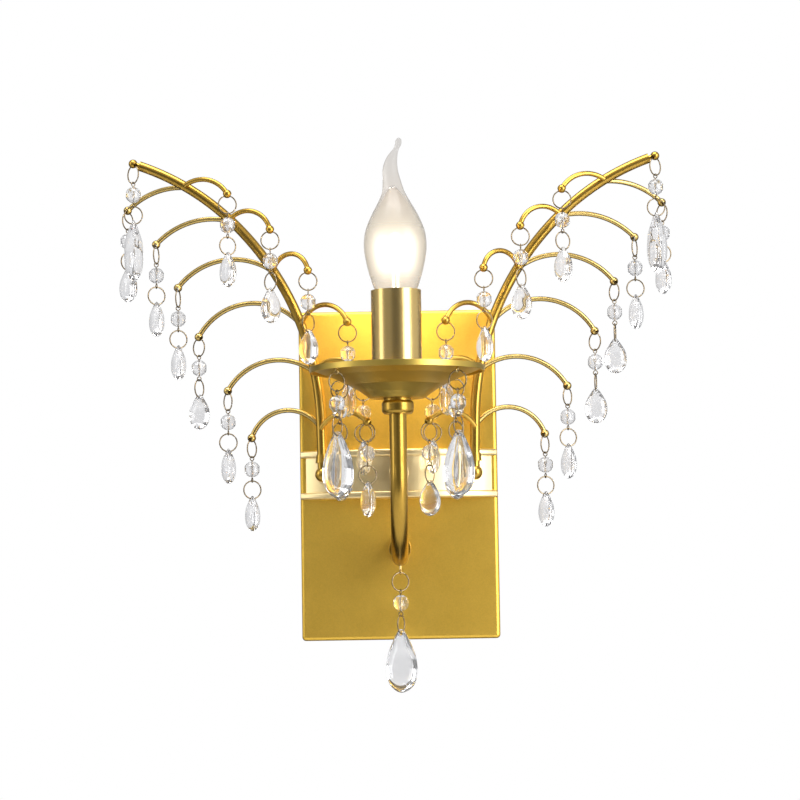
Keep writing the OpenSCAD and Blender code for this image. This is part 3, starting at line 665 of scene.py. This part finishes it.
def build_bulb():
    """Flame-shaped glass, hollow up to its neck, with a drawn-out bent tip that is solid."""
    rings = smooth_curve(BULB_RINGS, BULB_STEPS)
    bm = bmesh.new()
    skins = []
    for inset in (0.0, BULB_T):
        skin = []
        for z, r, shift in rings:
            if inset and z > BULB_HOLLOW:
                break
            radius = r * BULB_D / 2 - inset
            if inset:
                radius *= math.sqrt(max(1 - (z / BULB_HOLLOW) ** DOME_POWER, DOME_LEAST))
            middle, level = shift * BULB_D / 2, BULB_Z + z * BULB_H
            corners = [(middle + radius * math.cos(a), radius * math.sin(a) - ARM_REACH)
                       for a in round_angles(BULB_SIDES)]
            skin.append([bm.verts.new((x * MM, y * MM, level * MM)) for x, y in corners])
        for one, two in zip(skin, skin[1:]):
            join_rings(bm, one, two)
        bm.faces.new(skin[-1]).smooth = True
        skins.append(skin)
    join_rings(bm, skins[0][0], skins[1][0])
    piece = add_piece("bulb_glass.flame", finish_mesh(bm, "bulb_flame"), LAMP, "bulb")
    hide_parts("bulb_glass")
    return piece


# Camera, world, floor and lamps

def build_camera():
    """Camera below the object's middle that looks slightly up and leans a little."""
    forward = Vector((0, math.cos(CAMERA_PITCH), math.sin(CAMERA_PITCH)))
    level_right = Vector((1, 0, 0))
    level_up = Vector((0, -math.sin(CAMERA_PITCH), math.cos(CAMERA_PITCH)))
    right = math.cos(CAMERA_ROLL) * level_right - math.sin(CAMERA_ROLL) * level_up
    up = math.cos(CAMERA_ROLL) * level_up + math.sin(CAMERA_ROLL) * level_right
    data = bpy.data.cameras.new("camera")
    data.lens, data.sensor_width = LENS, SENSOR
    data.clip_start, data.clip_end = CLIP_START, CLIP_END
    camera = add_object("camera", data)
    turn = Matrix((right, up, -forward)).transposed().to_4x4()
    camera.matrix_world = Matrix.Translation(CAMERA_AT) @ turn
    bpy.context.scene.camera = camera


def build_world():
    """White to the camera; metal and glass show a studio with panels around the object."""
    world = bpy.data.worlds.new("studio")
    bpy.context.scene.world = world
    graph = Graph(world)
    looked = graph.add("TexCoord", {}).outputs["Generated"]
    x, y, z = graph.add("SeparateXYZ", {0: looked}).outputs

    def ramp(source, values, ends):
        return graph.spread(source, values, ends, smooth=True)

    def blend(factor, low, high):
        # sockets 2 and 3 are the two numbers of a float mix
        node = graph.add("Mix", {0: factor, 2: low, 3: high})
        node.data_type = "FLOAT"
        return node.outputs[0]

    # in front and behind, dark below and lighter above
    front = ramp(z, (0.16, 0.43), (-0.6, 0.15))
    back = ramp(z, (0.02, 0.55), (-0.1, 0.75))
    around = blend(ramp(y, (0.0, 1.0), (-0.15, 0.4)), front, back)
    # a panel on each side, the right one brighter
    right_panel = ramp(x, (0.0, 0.95), (0.72, 0.95))
    left_panel = ramp(x, (0.0, 0.6), (-0.8, -0.97))
    around = graph.combine("MAXIMUM", around, graph.combine("MAXIMUM", right_panel, left_panel))
    # a bright panel in front and above, dimmer near its top and behind
    strip = graph.combine("MULTIPLY", ramp(z, (0.0, 1.0), (0.12, 0.3)), ramp(z, (1.0, 0.5), (0.62, 0.8)))
    strip = graph.combine("MULTIPLY", strip, ramp(y, (1.0, 0.3), (0.1, 0.4)))
    around = graph.combine("MAXIMUM", around, strip)
    # a dim spot straight in front, and white straight behind
    around = graph.combine("MULTIPLY", around, ramp(y, (0.3, 1.0), (-0.995, -0.86)))
    shine = graph.combine("MAXIMUM", around, ramp(y, (0.0, 1.0), (0.86, 0.97)))
    # through glass, white behind and dim in front
    through = ramp(y, (0.2, 1.0), (-0.3, 0.9))

    path = graph.light_path()
    plain = blend(path["Is Glossy Ray"], WORLD_PLAIN, shine)
    strength = blend(path["Is Transmission Ray"], plain, through)
    studio = graph.add("Background", {"Strength": strength})
    white = graph.add("Background", {"Color": (1, 1, 1, 1)})
    mix = graph.choose(path["Is Camera Ray"], studio, white)
    graph.add("OutputWorld", {0: mix.outputs[0]})


def build_floor():
    """Pale floor, lifted towards white for the camera alone."""
    bm = bmesh.new()
    bm.faces.new([bm.verts.new((x, y, FLOOR_Z)) for x, y in (
        (-FLOOR_REACH, -FLOOR_REACH), (FLOOR_REACH, -FLOOR_REACH),
        (FLOOR_REACH, FLOOR_BACK), (-FLOOR_REACH, FLOOR_BACK))])
    floor = add_object("floor", finish_mesh(bm, "floor"))
    material, graph = new_material("floor_paper")
    floor.data.materials.append(material)
    paper = graph.add("BsdfDiffuse", {"Color": (FLOOR_GREY, FLOOR_GREY, FLOOR_GREY, 1)})
    bright = graph.add("Emission", {"Strength": FLOOR_GLOW})
    both = graph.add("AddShader", {0: paper.outputs[0], 1: bright.outputs[0]})
    graph.show(graph.choose(graph.light_path()["Is Camera Ray"], paper, both))


def build_lamps(bulb):
    """Three softboxes, and the light of the bulb itself."""
    for name, place, target, size, power in SOFTBOXES:
        data = bpy.data.lights.new(name, "AREA")
        data.shape, data.size, data.size_y = "RECTANGLE", size[0], size[1]
        data.energy = power
        lamp = add_object(name, data)
        lamp.location = place
        lamp.rotation_mode = "QUATERNION"
        lamp.rotation_quaternion = (Vector(target) - Vector(place)).to_track_quat("-Z", "Y")
    data = bpy.data.lights.new("bulb_light", "POINT")
    data.energy, data.color, data.shadow_soft_size = BULB_LIGHT_POWER, BULB_LIGHT_COLOUR, BULB_LIGHT_R
    lamp = add_object("bulb_light", data)
    lamp.location = BULB_LIGHT_AT
    lamp.visible_transmission = False
    # the bulb's own glass doesn't mirror this light, which stands in for its filament
    spared = bpy.data.collections.new("spared_by_bulb_light")
    spared.objects.link(bulb)
    lamp.light_linking.receiver_collection = spared
    spared.collection_objects[0].light_linking.link_state = "EXCLUDE"


bpy.context.scene.view_settings.view_transform = "Standard"
build_rods()
build_strands()
bulb_piece = build_bulb()
build_camera()
build_world()
build_floor()
build_lamps(bulb_piece)
